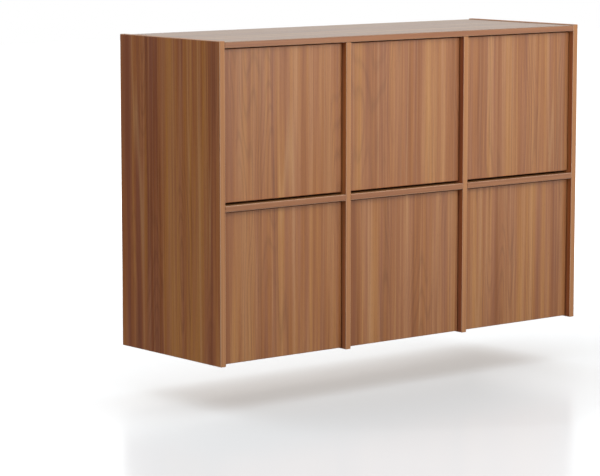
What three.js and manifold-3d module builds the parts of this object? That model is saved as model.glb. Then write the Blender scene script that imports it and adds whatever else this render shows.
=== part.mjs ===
// Wall-hung cube storage unit in walnut: three columns of two cubes, each closed by a plain inset door.
// Millimetres, +Z up. +X runs to the right of someone who faces the doors, the wall is the plane y = 0 and
// the fronts lie at negative y. The origin is the middle of the hanging rail's wall face.
// Boards keep a small fit between each other, as dry joints do before the glue goes in.

import * as THREE from 'three';
import { mergeVertices } from 'three/addons/utils/BufferGeometryUtils.js';
import Module from 'manifold-3d';

const wasm = await Module();
wasm.setup();

// Case: the cubes' clear sizes and the boards round them
const columnCount = 3;
const cellWidth = 370;
const cellHeight = 370;
const caseDepth = 400;
const uprightThickness = 16;
const deckThickness = 15;
const topSetDown = 2;
const bottomLift = 2;
const railDrop = 60;
const boardFit = 0.2;
const arris = 1;

// Doors: inset between the uprights, behind their front edges
const doorThickness = 18;
const doorRecess = 14;
const doorGap = 2.5;
const doorGapBelow = 5;
const footClearance = 3;
const bottomClearance = 1.4;

// Back boards: housed in grooves, set in from the wall to leave room for the hanging fittings
const backThickness = 8;
const backInset = 20;
const grooveDepth = 5;
const grooveFit = 0.3;

// Hanging rail: a pressed steel strip whose upper lip stands off the wall
const railFace = 30;
const railThickness = 2;
const railStep = 6;
const railLip = 12;
const railEndGap = 1;
const railSlotCount = 8;
const railSlotLength = 20;
const railSlotWidth = 6;
const railNotchClearance = 3;
const railLiftRoom = 10;

// Hangers: hooks screwed inside the side panels, resting over the rail's lip
const hangerThickness = 3;
const hangerGap = 0.5;
const hangerFrontGap = 1;
const hangerTail = 38;
const hangerCrown = 6;
const hangerTongue = 9;
const hangerHoleRadius = 2.5;
const hangerHolePitch = 18;

// Hinges: the pin's place in the door, measured from the door's hinge edge and from its front face
const pinFromEdge = 18;
const pinFromFront = 8;
const openAngle = THREE.MathUtils.degToRad(95);
const hingeFromEnd = 90;
const hingeSeat = 0.2;

// Hinge cup: a pressed cup let into the door's back, with two screw wings and the pin across it
const cupRadius = 17.5;
const cupDepth = 13.5;
const cupWall = 1;
const cupFloor = 0.6;
const cupFromEdge = 4;
const cupBoreFit = 0.3;
const rimWidth = 1.4;
const rimThickness = 1;
const wingHalfWidth = 11;
const wingHalfHeight = 28;
const wingCorner = 5;
const cupScrewRadius = 2;
const cupScrewReach = 23;
const pinRadius = 1.2;

// Hinge arm: a bent steel neck that reaches round the door's edge, on a body and a mounting plate
const knuckleFit = 0.3;
const knuckleWall = 0.9;
const neckThickness = 2;
const neckWidth = 10;
const neckClearance = 2.2;
const neckBend = 5;
const neckBendAngle = THREE.MathUtils.degToRad(20);
const neckTurnAngle = THREE.MathUtils.degToRad(86);
const neckFall = 9;
const bodyStandOff = 8;
const bodyLength = 42;
const bodyNose = 5;
const bodyTail = 6;
const adjusterRadius = 3;
const adjusterDepth = 3;
const adjusterInset = 12;
const plateThickness = 2.4;
const plateLength = 30;
const plateHalfHeight = 26;
const plateCorner = 6;
const plateScrewRadius = 2.5;
const plateScrewReach = 18;

// Push latch: a sprung plunger that holds the closed door and pushes it out when it is pressed
const latchSeat = 0.2;
const latchFootThickness = 2.5;
const latchFootHalfLength = 15;
const latchFootHalfHeight = 19;
const latchFootCorner = 4;
const latchRadius = 8;
const latchLength = 60;
const latchFromDoor = 6;
const latchBoreDepth = 52;
const latchScrewRadius = 2;
const latchScrewReach = 14;
const plungerRadius = 3.5;
const plungerFit = 0.3;
const plungerLength = 46;
const plungerHeadRadius = 5;
const plungerHeadLength = 2.5;
const plungerDoorGap = 0.3;
const plungerCrown = 0.6;

// Facets of round stretches, and the overrun of a cut past the surface that it leaves by
const roundSteps = 16;
const pinSteps = 8;
const holeSteps = 6;
const arcSteps = 3;
const overrun = 1;

// Places that follow from the sizes above
const pitch = cellWidth + uprightThickness;
const caseWidth = columnCount * cellWidth + (columnCount + 1) * uprightThickness;
const innerHalfWidth = caseWidth / 2 - uprightThickness;
const sideTop = railDrop;
const topUpper = sideTop - topSetDown;
const topLower = topUpper - deckThickness;
const shelfUpper = topLower - cellHeight;
const shelfLower = shelfUpper - deckThickness;
const doorHeight = cellHeight - doorGap - doorGapBelow;
const sideBottom = shelfLower - doorGap - doorHeight - footClearance;
const caseHeight = sideTop - sideBottom;
const bottomLower = sideBottom + bottomLift;
const bottomUpper = bottomLower + deckThickness;
const doorWidth = cellWidth - 2 * doorGap;
const doorFront = -(caseDepth - doorRecess);
const doorBack = doorFront + doorThickness;
const doorBackFromPin = doorThickness - pinFromFront;
const doorCornerReach = Math.hypot(pinFromEdge, doorBackFromPin);
const bottomSetBack = doorCornerReach - doorBackFromPin + bottomClearance;
const backRear = -backInset;
const backFront = backRear - backThickness;
const backReach = grooveDepth - grooveFit;
const rows = [
  { name: 'upper', doorTop: topLower - doorGap },
  { name: 'lower', doorTop: shelfLower - doorGap },
];
const columnNames = ['left', 'centre', 'right'];

// Materials: one look for each kind of stuff, copied for every piece
const looks = {
  walnut: { color: 0x7a4a35, roughness: 0.5, metalness: 0 },
  walnutTop: { color: 0x8d7d72, roughness: 0.42, metalness: 0 },
  walnutEdge: { color: 0xa9765a, roughness: 0.5, metalness: 0 },
  backBoard: { color: 0x6f4632, roughness: 0.6, metalness: 0 },
  nickel: { color: 0xb9b7b2, roughness: 0.3, metalness: 1 },
  zinc: { color: 0xa8adb0, roughness: 0.4, metalness: 1 },
  greyPlastic: { color: 0x9a9a98, roughness: 0.5, metalness: 0 },
  darkPlastic: { color: 0x3c3c3d, roughness: 0.55, metalness: 0 },
};

function named(name, geometry, look) {
  const mesh = new THREE.Mesh(geometry, new THREE.MeshStandardMaterial(looks[look]));
  mesh.name = name;
  return mesh;
}

// Solid joins and cuts. A face that has lost an edge, as those at a pole have, is left out
function solid(geometry) {
  const bare = geometry.clone();
  bare.deleteAttribute('normal');
  bare.deleteAttribute('uv');
  const merged = mergeVertices(bare);
  const corners = merged.index.array;
  const faces = [];
  for (let first = 0; first < corners.length; first += 3) {
    const face = [corners[first], corners[first + 1], corners[first + 2]];
    if (new Set(face).size === 3) faces.push(...face);
  }
  return new wasm.Manifold(new wasm.Mesh({
    numProp: 3,
    vertProperties: Float32Array.from(merged.attributes.position.array),
    triVerts: Uint32Array.from(faces),
  }));
}

function shaped(body) {
  const mesh = body.getMesh();
  const geometry = new THREE.BufferGeometry();
  geometry.setAttribute('position', new THREE.BufferAttribute(new Float32Array(mesh.vertProperties), 3));
  geometry.setIndex(new THREE.BufferAttribute(new Uint32Array(mesh.triVerts), 1));
  geometry.computeVertexNormals();
  return geometry;
}

function without(geometry, cuts) {
  return shaped(cuts.reduce((body, cut) => body.subtract(solid(cut)), solid(geometry)));
}

function joined(geometries) {
  return geometries.map(solid).reduce((body, other) => body.add(other));
}

// Turns a shape drawn flat into a prism: its outline keeps X and becomes Z, and its depth is centred on Y
function prismAlongY(shape, length, steps = arcSteps) {
  const geometry = prismAlongZ(shape, length, steps);
  geometry.rotateX(Math.PI / 2);
  return geometry;
}

function prismAlongZ(shape, length, steps = arcSteps) {
  const geometry = new THREE.ExtrudeGeometry(shape, { depth: length, bevelEnabled: false, curveSegments: steps });
  geometry.translate(0, 0, -length / 2);
  return geometry;
}

// A prism whose outline lies in the Y-Z plane and whose depth is centred on X
function prismAlongX(shape, length) {
  const geometry = prismAlongZ(shape, length);
  geometry.rotateY(Math.PI / 2);
  geometry.rotateX(Math.PI / 2);
  return geometry;
}

function rodAlong(axis, radius, length, steps) {
  const geometry = new THREE.CylinderGeometry(radius, radius, length, steps);
  if (axis === 'x') geometry.rotateZ(Math.PI / 2);
  if (axis === 'z') geometry.rotateX(Math.PI / 2);
  return geometry;
}

function block(low, high) {
  const size = high.map((value, axis) => value - low[axis]);
  const geometry = new THREE.BoxGeometry(...size);
  geometry.translate(...low.map((value, axis) => (value + high[axis]) / 2));
  return geometry;
}

function roundedRectangle(halfWidth, halfHeight, corner) {
  const shape = new THREE.Shape();
  const across = halfWidth - corner;
  const up = halfHeight - corner;
  shape.absarc(across, up, corner, 0, Math.PI / 2);
  shape.absarc(-across, up, corner, Math.PI / 2, Math.PI);
  shape.absarc(-across, -up, corner, Math.PI, Math.PI * 1.5);
  shape.absarc(across, -up, corner, Math.PI * 1.5, Math.PI * 2);
  shape.closePath();
  return shape;
}

function slotShape(length, width) {
  const shape = new THREE.Shape();
  const reach = (length - width) / 2;
  shape.absarc(reach, 0, width / 2, -Math.PI / 2, Math.PI / 2);
  shape.absarc(-reach, 0, width / 2, Math.PI / 2, Math.PI * 1.5);
  shape.closePath();
  return shape;
}

function outline(points) {
  return new THREE.Shape(points.map(([across, up]) => new THREE.Vector2(across, up)));
}

// A board centred on zero, its faces' edges eased by the arris
function board(width, depth, height) {
  const thin = Math.min(width, depth, height);
  const across = (thin === width ? depth : width) / 2;
  const up = (thin === height ? depth : height) / 2;
  const shape = outline([[-across, -up], [across, -up], [across, up], [-across, up]]);
  const geometry = new THREE.ExtrudeGeometry(shape, {
    depth: thin - 2 * arris,
    bevelThickness: arris,
    bevelSize: arris,
    bevelOffset: -arris,
    bevelSegments: 1,
  });
  geometry.translate(0, 0, arris - thin / 2);
  if (thin === width) {
    geometry.rotateY(Math.PI / 2);
    geometry.rotateX(Math.PI / 2);
  } else if (thin === depth) {
    geometry.rotateX(Math.PI / 2);
  }
  return geometry;
}

function columnCentre(column) {
  return (column - (columnCount - 1) / 2) * pitch;
}

// The groove that an upright has for a back board, on the side that direction points to
function uprightGroove(direction, centreZ) {
  const face = direction * uprightThickness / 2;
  const floor = face - direction * grooveDepth;
  const outside = face + direction * overrun;
  return block(
    [Math.min(floor, outside), backFront - grooveFit + caseDepth / 2, bottomUpper - grooveDepth - centreZ],
    [Math.max(floor, outside), backRear + grooveFit + caseDepth / 2, topLower + grooveDepth - centreZ],
  );
}

function sidePanel(name, direction) {
  const centreZ = (sideTop + sideBottom) / 2;
  const geometry = without(board(uprightThickness, caseDepth, caseHeight), [uprightGroove(-direction, centreZ)]);
  const mesh = named(name, geometry, 'walnut');
  mesh.position.set(direction * (caseWidth - uprightThickness) / 2, -caseDepth / 2, centreZ);
  return mesh;
}

// A divider stands under the top board, and its rear edge is notched for the hanging rail
function divider(name, centreX) {
  const height = topLower - boardFit - sideBottom;
  const centreZ = sideBottom + height / 2;
  const notchFront = -(railStep + railThickness + railNotchClearance) + caseDepth / 2;
  const notch = block(
    [-uprightThickness, notchFront, -railFace / 2 - railNotchClearance - centreZ],
    [uprightThickness, caseDepth / 2 + overrun, railFace / 2 + railLip + railLiftRoom - centreZ],
  );
  const cuts = [uprightGroove(1, centreZ), uprightGroove(-1, centreZ), notch];
  const mesh = named(name, without(board(uprightThickness, caseDepth, height), cuts), 'walnut');
  mesh.position.set(centreX, -caseDepth / 2, centreZ);
  return mesh;
}

// The groove that a board has for one column's back board, in the face at height faceZ
function deckGroove(centreX, faceZ, direction, centreY) {
  const halfWidth = cellWidth / 2 + grooveDepth;
  const heights = [faceZ - direction * grooveDepth, faceZ + direction * overrun];
  return block(
    [centreX - halfWidth, backFront - grooveFit - centreY, Math.min(...heights)],
    [centreX + halfWidth, backRear + grooveFit - centreY, Math.max(...heights)],
  );
}

function topBoard() {
  const width = 2 * (innerHalfWidth - boardFit);
  const grooves = Array.from({ length: columnCount }, (_, column) => (
    deckGroove(columnCentre(column), -deckThickness / 2, -1, -caseDepth / 2)
  ));
  const mesh = named('top_board', without(board(width, caseDepth, deckThickness), grooves), 'walnutTop');
  mesh.position.set(0, -caseDepth / 2, topUpper - deckThickness / 2);
  return mesh;
}

function shelf(name) {
  const depth = caseDepth + backFront - boardFit;
  const mesh = named(name, board(cellWidth - 2 * boardFit, depth, deckThickness), 'walnutEdge');
  mesh.position.set(0, -caseDepth + depth / 2, shelfUpper - deckThickness / 2);
  return mesh;
}

// The lower doors cover the bottom boards' front edges, which leave room for the doors' swinging hinge edges
function bottomBoard(name) {
  const depth = -(doorBack + bottomSetBack);
  const body = board(cellWidth - 2 * boardFit, depth, deckThickness);
  const mesh = named(name, without(body, [deckGroove(0, deckThickness / 2, 1, -depth / 2)]), 'walnut');
  mesh.position.set(0, -depth / 2, bottomUpper - deckThickness / 2);
  return mesh;
}

function backBoard(name) {
  const width = cellWidth + 2 * backReach;
  const low = bottomUpper - backReach;
  const high = topLower + backReach;
  const geometry = new THREE.BoxGeometry(width, backThickness, high - low);
  const mesh = named(name, geometry, 'backBoard');
  mesh.position.set(0, (backFront + backRear) / 2, (low + high) / 2);
  return mesh;
}

// The rail's section, drawn as depth off the wall and height, with slots for the wall screws
function hangingRail() {
  const front = -railStep - railThickness;
  const shape = outline([
    [0, -railFace / 2],
    [0, railFace / 2],
    [-railStep, railFace / 2],
    [-railStep, railFace / 2 + railLip],
    [front, railFace / 2 + railLip],
    [front, railFace / 2 - railThickness],
    [-railThickness, railFace / 2 - railThickness],
    [-railThickness, -railFace / 2],
  ]);
  const length = 2 * (innerHalfWidth - railEndGap);
  const slotPitch = length / (railSlotCount + 1);
  const slots = Array.from({ length: railSlotCount }, (_, index) => {
    const slot = prismAlongY(slotShape(railSlotLength, railSlotWidth), railThickness + 2 * overrun);
    slot.translate((index - (railSlotCount - 1) / 2) * slotPitch, -railThickness / 2, 0);
    return slot;
  });
  return named('hanging_rail', without(prismAlongX(shape, length), slots), 'zinc');
}

// A hanger: a plate in the room behind the back boards whose hook drops between the rail's lip and the wall
function hanger(name, direction) {
  const front = -backInset + hangerFrontGap;
  const lipFront = -railStep - railThickness - hangerGap;
  const tongueFront = -railStep + hangerGap;
  const tongueRear = -hangerGap;
  const seat = railFace / 2 + railLip + hangerGap;
  const shape = outline([
    [front, -hangerTail],
    [lipFront, -hangerTail],
    [lipFront, seat],
    [tongueFront, seat],
    [tongueFront, seat - hangerTongue],
    [tongueRear, seat - hangerTongue],
    [tongueRear, seat + hangerCrown],
    [front, seat + hangerCrown],
  ]);
  const middle = (seat - hangerTail) / 2;
  const holes = [-1, 0, 1].map((step) => {
    const hole = rodAlong('x', hangerHoleRadius, hangerThickness + 2 * overrun, holeSteps);
    hole.translate(0, (front + lipFront) / 2, middle + step * hangerHolePitch);
    return hole;
  });
  const mesh = named(name, without(prismAlongX(shape, hangerThickness), holes), 'zinc');
  mesh.position.x = direction * (innerHalfWidth - boardFit - hangerThickness / 2);
  return mesh;
}

// Hinge sizes seen from above: the pin is zero, across is positive towards the door's middle and
// back is positive towards the wall
const cupAcross = cupFromEdge + cupRadius - pinFromEdge;
const rimOuter = doorBackFromPin + hingeSeat + rimThickness;
const cupInner = cupRadius - cupWall;
const panelFromPin = -pinFromEdge - doorGap;
const plateFace = panelFromPin + hingeSeat + plateThickness;
const neckRadius = doorCornerReach + neckClearance + neckThickness / 2;
const mouthHalfWidth = Math.sqrt(cupInner ** 2 - (neckWidth / 2) ** 2);
const rimAngleFar = Math.atan2(rimOuter, cupAcross + mouthHalfWidth);
const rimAngleNear = Math.atan2(rimOuter, cupAcross - mouthHalfWidth);
const neckAngle = (rimAngleFar + rimAngleNear - openAngle) / 2;
const neckAcross = plateFace + bodyStandOff - neckThickness / 2;

function polar(radius, angle) {
  return new THREE.Vector2(radius * Math.cos(angle), radius * Math.sin(angle));
}

// The neck's middle line: out of the cup between its two rims, round the circle that the door's edge
// swings in, and back along the side panel
function neckLine() {
  const bendEnd = neckAngle + neckBendAngle;
  const turn = polar(neckRadius, neckTurnAngle);
  const slope = -1 / Math.tan(neckTurnAngle);
  const corner = new THREE.Vector2(neckAcross, turn.y + (neckAcross - turn.x) * slope);
  const line = new THREE.CurvePath();
  const bendStart = polar(neckRadius - neckBend, neckAngle);
  const bendCorner = polar(neckRadius / Math.cos(neckBendAngle), neckAngle);
  const fall = new THREE.Vector2(neckAcross, corner.y + neckFall);
  line.add(new THREE.LineCurve(new THREE.Vector2(), bendStart));
  line.add(new THREE.QuadraticBezierCurve(bendStart, bendCorner, polar(neckRadius, bendEnd)));
  line.add(new THREE.EllipseCurve(0, 0, neckRadius, neckRadius, bendEnd, neckTurnAngle, false));
  line.add(new THREE.QuadraticBezierCurve(turn, corner, fall));
  return line;
}

// The two sides of a strip of even thickness along a line, each from the line's start to its end, the left
// one first: every point is set off along the line's normal
function stripSides(line, thickness) {
  const points = line.curves.flatMap((curve, index) => {
    const steps = curve instanceof THREE.LineCurve ? 1 : arcSteps;
    return curve.getPoints(steps).slice(index === 0 ? 0 : 1);
  });
  return [1, -1].map((side) => points.map((point, index) => {
    const before = points[Math.max(index - 1, 0)];
    const after = points[Math.min(index + 1, points.length - 1)];
    const along = after.clone().sub(before).normalize();
    return [point.x - side * along.y * thickness / 2, point.y + side * along.x * thickness / 2];
  }));
}

function hingeCup(name) {
  const floor = doorBackFromPin - cupDepth;
  const cup = new THREE.LatheGeometry([
    [0, floor],
    [cupRadius, floor],
    [cupRadius, rimOuter - rimThickness],
    [cupRadius + rimWidth, rimOuter - rimThickness],
    [cupRadius + rimWidth, rimOuter],
    [cupInner, rimOuter],
    [cupInner, floor + cupFloor],
    [0, floor + cupFloor],
  ].map(([across, up]) => new THREE.Vector2(across, up)), roundSteps);
  const wings = prismAlongY(roundedRectangle(wingHalfWidth, wingHalfHeight, wingCorner), rimThickness);
  wings.translate(0, rimOuter - rimThickness / 2, 0);
  const mouth = rodAlong('y', cupInner, 2 * rimThickness, roundSteps);
  mouth.translate(0, rimOuter, 0);
  const screws = [-1, 1].map((side) => {
    const hole = rodAlong('y', cupScrewRadius, rimThickness + 2 * overrun, holeSteps);
    hole.translate(0, rimOuter - rimThickness / 2, side * cupScrewReach);
    return hole;
  });
  const pinReach = Math.sqrt((cupRadius - cupWall / 2) ** 2 - (Math.abs(cupAcross) + pinRadius) ** 2);
  const pin = rodAlong('z', pinRadius, 2 * pinReach, pinSteps);
  pin.translate(-cupAcross, 0, 0);
  const wingBody = [mouth, ...screws].reduce((body, cut) => body.subtract(solid(cut)), solid(wings));
  const geometry = shaped(wingBody.add(joined([cup, pin])));
  geometry.translate(cupAcross, 0, 0);
  return named(name, geometry, 'nickel');
}

function hingeArm(name) {
  const line = neckLine();
  const [panelSide, roomSide] = stripSides(line, neckThickness);
  const knuckle = rodAlong('z', pinRadius + knuckleFit + knuckleWall, neckWidth, pinSteps);
  const eye = rodAlong('z', pinRadius + knuckleFit, neckWidth + 2 * overrun, pinSteps);
  const neckEnd = line.getPoint(1);
  const low = plateFace - plateThickness / 2;
  const high = neckAcross + neckThickness / 2;
  const start = neckEnd.y - neckThickness;
  const end = start + bodyLength;
  const body = prismAlongZ(outline([
    ...panelSide.reverse(),
    ...roomSide,
    [high, end - bodyTail],
    [high - bodyTail, end],
    [low, end],
    [low, start + bodyNose],
  ]), neckWidth);
  const plate = prismAlongX(roundedRectangle(plateLength / 2, plateHalfHeight, plateCorner), plateThickness);
  const middle = (start + bodyNose + end) / 2;
  plate.translate(plateFace - plateThickness / 2, middle, 0);
  const screws = [-1, 1].map((side) => {
    const hole = rodAlong('x', plateScrewRadius, plateThickness + 2 * overrun, holeSteps);
    hole.translate(plateFace - plateThickness / 2, middle, side * plateScrewReach);
    return hole;
  });
  const adjusters = [adjusterInset, bodyLength - adjusterInset].map((inset) => {
    const pocket = rodAlong('x', adjusterRadius, 2 * adjusterDepth, holeSteps);
    pocket.translate(high, start + inset, 0);
    return pocket;
  });
  const whole = shaped(joined([knuckle, body, plate]));
  return named(name, without(whole, [eye, ...screws, ...adjusters]), 'nickel');
}

function door(name) {
  const bores = [-1, 1].map((side) => {
    const bore = rodAlong('y', cupRadius + cupBoreFit, 2 * (cupDepth + cupBoreFit), roundSteps);
    const across = cupFromEdge + cupRadius - doorWidth / 2;
    bore.translate(across, doorThickness / 2, side * (doorHeight / 2 - hingeFromEnd));
    return bore;
  });
  return named(name, without(board(doorWidth, doorThickness, doorHeight), bores), 'walnut');
}

// The latch's section: a round barrel on a flat foot, drawn with the foot's face on zero and the barrel to its left
function latchBody(name) {
  const barrel = new THREE.Shape();
  barrel.moveTo(0, -latchRadius);
  barrel.absarc(-latchRadius, 0, latchRadius, Math.PI * 1.5, Math.PI / 2, true);
  barrel.lineTo(0, latchRadius);
  const foot = roundedRectangle(latchFootHalfLength, latchFootHalfHeight, latchFootCorner);
  const footPlate = prismAlongX(foot, latchFootThickness);
  footPlate.translate(-latchFootThickness / 2, 0, 0);
  const bore = rodAlong('y', plungerRadius + plungerFit, 2 * latchBoreDepth, pinSteps);
  bore.translate(-latchRadius, -latchLength / 2, 0);
  const screws = [-1, 1].map((side) => {
    const hole = rodAlong('x', latchScrewRadius, 2 * (latchFootThickness + overrun), holeSteps);
    hole.translate(0, 0, side * latchScrewReach);
    return hole;
  });
  const body = shaped(joined([prismAlongY(barrel, latchLength, pinSteps), footPlate]));
  return named(name, without(body, [bore, ...screws]), 'greyPlastic');
}

// The plunger's outline from its tip back, turned about its own line
function latchPlunger(name) {
  const geometry = new THREE.LatheGeometry([
    [0, 0],
    [plungerHeadRadius - plungerCrown, 0],
    [plungerHeadRadius, plungerCrown],
    [plungerHeadRadius, plungerHeadLength],
    [plungerRadius, plungerHeadLength],
    [plungerRadius, plungerLength],
    [0, plungerLength],
  ].map(([across, along]) => new THREE.Vector2(across, along)), pinSteps);
  return named(name, shaped(solid(geometry)), 'darkPlastic');
}

// One column's door, hinges and latch in one row, seen with the hinges at the left
function doorSet(label, row) {
  const set = new THREE.Group();
  const middle = row.doorTop - doorHeight / 2;
  const panel = door(`${label}_door`);
  panel.position.set(0, doorFront + doorThickness / 2, middle);
  set.add(panel);
  for (const [place, side] of [['top', 1], ['bottom', -1]]) {
    const hinge = new THREE.Group();
    hinge.add(hingeCup(`${label}_hinge_cup_${place}`));
    hinge.add(hingeArm(`${label}_hinge_arm_${place}`));
    const across = pinFromEdge - doorWidth / 2;
    hinge.position.set(across, doorFront + pinFromFront, middle + side * (doorHeight / 2 - hingeFromEnd));
    set.add(hinge);
  }
  const latch = latchBody(`${label}_latch_body`);
  latch.position.set(cellWidth / 2 - latchSeat, doorBack + latchFromDoor + latchLength / 2, middle);
  set.add(latch);
  const plunger = latchPlunger(`${label}_latch_plunger`);
  plunger.position.set(cellWidth / 2 - latchSeat - latchRadius, doorBack + plungerDoorGap, middle);
  set.add(plunger);
  return set;
}

function column(index) {
  const name = columnNames[index];
  const group = new THREE.Group();
  group.position.x = columnCentre(index);
  group.add(shelf(`${name}_shelf`), bottomBoard(`${name}_bottom_board`), backBoard(`${name}_back_board`));
  const fittings = new THREE.Group();
  rows.forEach((row) => fittings.add(doorSet(`${row.name}_${name}`, row)));
  if (index === columnCount - 1) fittings.scale.x = -1;
  group.add(fittings);
  return group;
}

const unit = new THREE.Group();
unit.add(sidePanel('left_side_panel', -1), sidePanel('right_side_panel', 1), topBoard(), hangingRail());
unit.add(hanger('left_hanger', -1), hanger('right_hanger', 1));
for (let index = 0; index < columnCount; index += 1) {
  unit.add(column(index));
  if (index > 0) unit.add(divider(`divider_${index}`, columnCentre(index) - pitch / 2));
}

export default unit;
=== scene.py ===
"""Looks of a wall-hung storage unit of six walnut-veneered cubes, over its packed construction model.

The boards, rail and hangers keep their construction meshes; hinges, latches and screws are modelled here.
Meshes are drawn in millimetres and placed in metres. X runs to the right, the wall is y = 0, Z is up.
"""

import logging
import math
from dataclasses import dataclass
from enum import Enum
from typing import Any, Iterable, Union

import bpy
import numpy as np
from bpy.types import Material, Node, NodeSocket, NodeTree, Object
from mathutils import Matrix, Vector


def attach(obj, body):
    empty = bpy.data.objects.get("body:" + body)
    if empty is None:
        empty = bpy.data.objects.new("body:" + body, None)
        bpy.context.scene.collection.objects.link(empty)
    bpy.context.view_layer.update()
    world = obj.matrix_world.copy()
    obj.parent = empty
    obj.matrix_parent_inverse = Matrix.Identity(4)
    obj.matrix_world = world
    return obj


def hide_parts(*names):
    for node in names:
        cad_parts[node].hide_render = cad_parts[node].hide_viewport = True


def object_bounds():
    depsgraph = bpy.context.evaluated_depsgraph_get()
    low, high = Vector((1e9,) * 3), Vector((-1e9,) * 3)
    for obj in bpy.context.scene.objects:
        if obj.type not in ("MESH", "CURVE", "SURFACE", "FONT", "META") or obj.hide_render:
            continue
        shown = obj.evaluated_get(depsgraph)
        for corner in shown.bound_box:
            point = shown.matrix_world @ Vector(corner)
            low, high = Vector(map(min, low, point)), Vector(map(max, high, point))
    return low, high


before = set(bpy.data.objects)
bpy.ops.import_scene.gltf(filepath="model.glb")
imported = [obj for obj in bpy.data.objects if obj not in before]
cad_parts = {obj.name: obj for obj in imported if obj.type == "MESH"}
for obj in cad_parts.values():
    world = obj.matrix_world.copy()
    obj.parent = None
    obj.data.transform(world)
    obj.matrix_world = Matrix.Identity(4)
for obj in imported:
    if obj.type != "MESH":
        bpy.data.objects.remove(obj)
cad_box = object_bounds()
log = logging.getLogger("cube_unit")

MM = 0.001
# Sockets of a colour Mix node by number, because it uses its socket names more than once
SHARE, FIRST, SECOND, MIXED = 0, 6, 7, 2
# The levels between which noise mostly lies, and nearer ones that give a sharper band
NOISE_SPAN, BAND_SPAN = (0.3, 0.7), (0.35, 0.65)
LACQUER_IOR = 1.5
# An edge that turns by more than this is a crease
CREASE = math.radians(40)
# Rows on a rounded edge, points on a bent line, and how far the middle row of a coarse rounding stands in
EASE_ROWS, CURVE_POINTS, COARSE_EASE = 5, 13, 0.3

Colour = tuple[float, float, float, float]
Radius = Union[float, np.ndarray]
Two, Three = tuple[float, float], tuple[float, float, float]


def linear(code: str) -> Colour:
    """Turns an sRGB hex code into a linear colour.

    Args:
        code: six hex digits after a hash sign.

    Returns:
        Red, green, blue and a full alpha, each from 0 to 1.
    """
    parts = [int(code[i:i + 2], 16) / 255 for i in (1, 3, 5)]
    red, green, blue = (p / 12.92 if p <= 0.04045 else ((p + 0.055) / 1.055) ** 2.4 for p in parts)
    return red, green, blue, 1.0


def add_node(tree: NodeTree, kind: str, inputs: Union[dict, Iterable] = (), **settings: Any) -> Node:
    """Adds a node with its settings and links.

    Args:
        tree: the node tree.
        kind: the node's type name after ShaderNode.
        inputs: values or the sockets that feed them, by the input's name or number or in the inputs' order.
        settings: the node's own properties.

    Returns:
        The new node.
    """
    made = tree.nodes.new("ShaderNode" + kind)
    for name, value in settings.items():
        setattr(made, name, value)
    for socket, value in inputs.items() if isinstance(inputs, dict) else enumerate(inputs):
        if isinstance(value, NodeSocket):
            tree.links.new(value, made.inputs[socket])
        else:
            made.inputs[socket].default_value = value
    return made


def new_material(name: str) -> tuple[Material, NodeTree, Node]:
    """Starts a material.

    Args:
        name: the material's name.

    Returns:
        The material, its node tree and its shader.
    """
    material = bpy.data.materials.new(name)
    material.use_nodes = True
    return material, material.node_tree, material.node_tree.nodes["Principled BSDF"]


class Board(Enum):
    """How a board lies: the axes across its veneered faces, across its grain and along its grain."""

    UPRIGHT = ("X", "Y", "Z")
    DOOR = ("Y", "X", "Z")
    DECK = ("Z", "Y", "X")


@dataclass(frozen=True)
class Streaks:
    """One layer of wood pattern: its width across the grain and its length along it, in millimetres."""

    across_mm: float
    along_mm: float
    detail: float = 2.0


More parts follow.
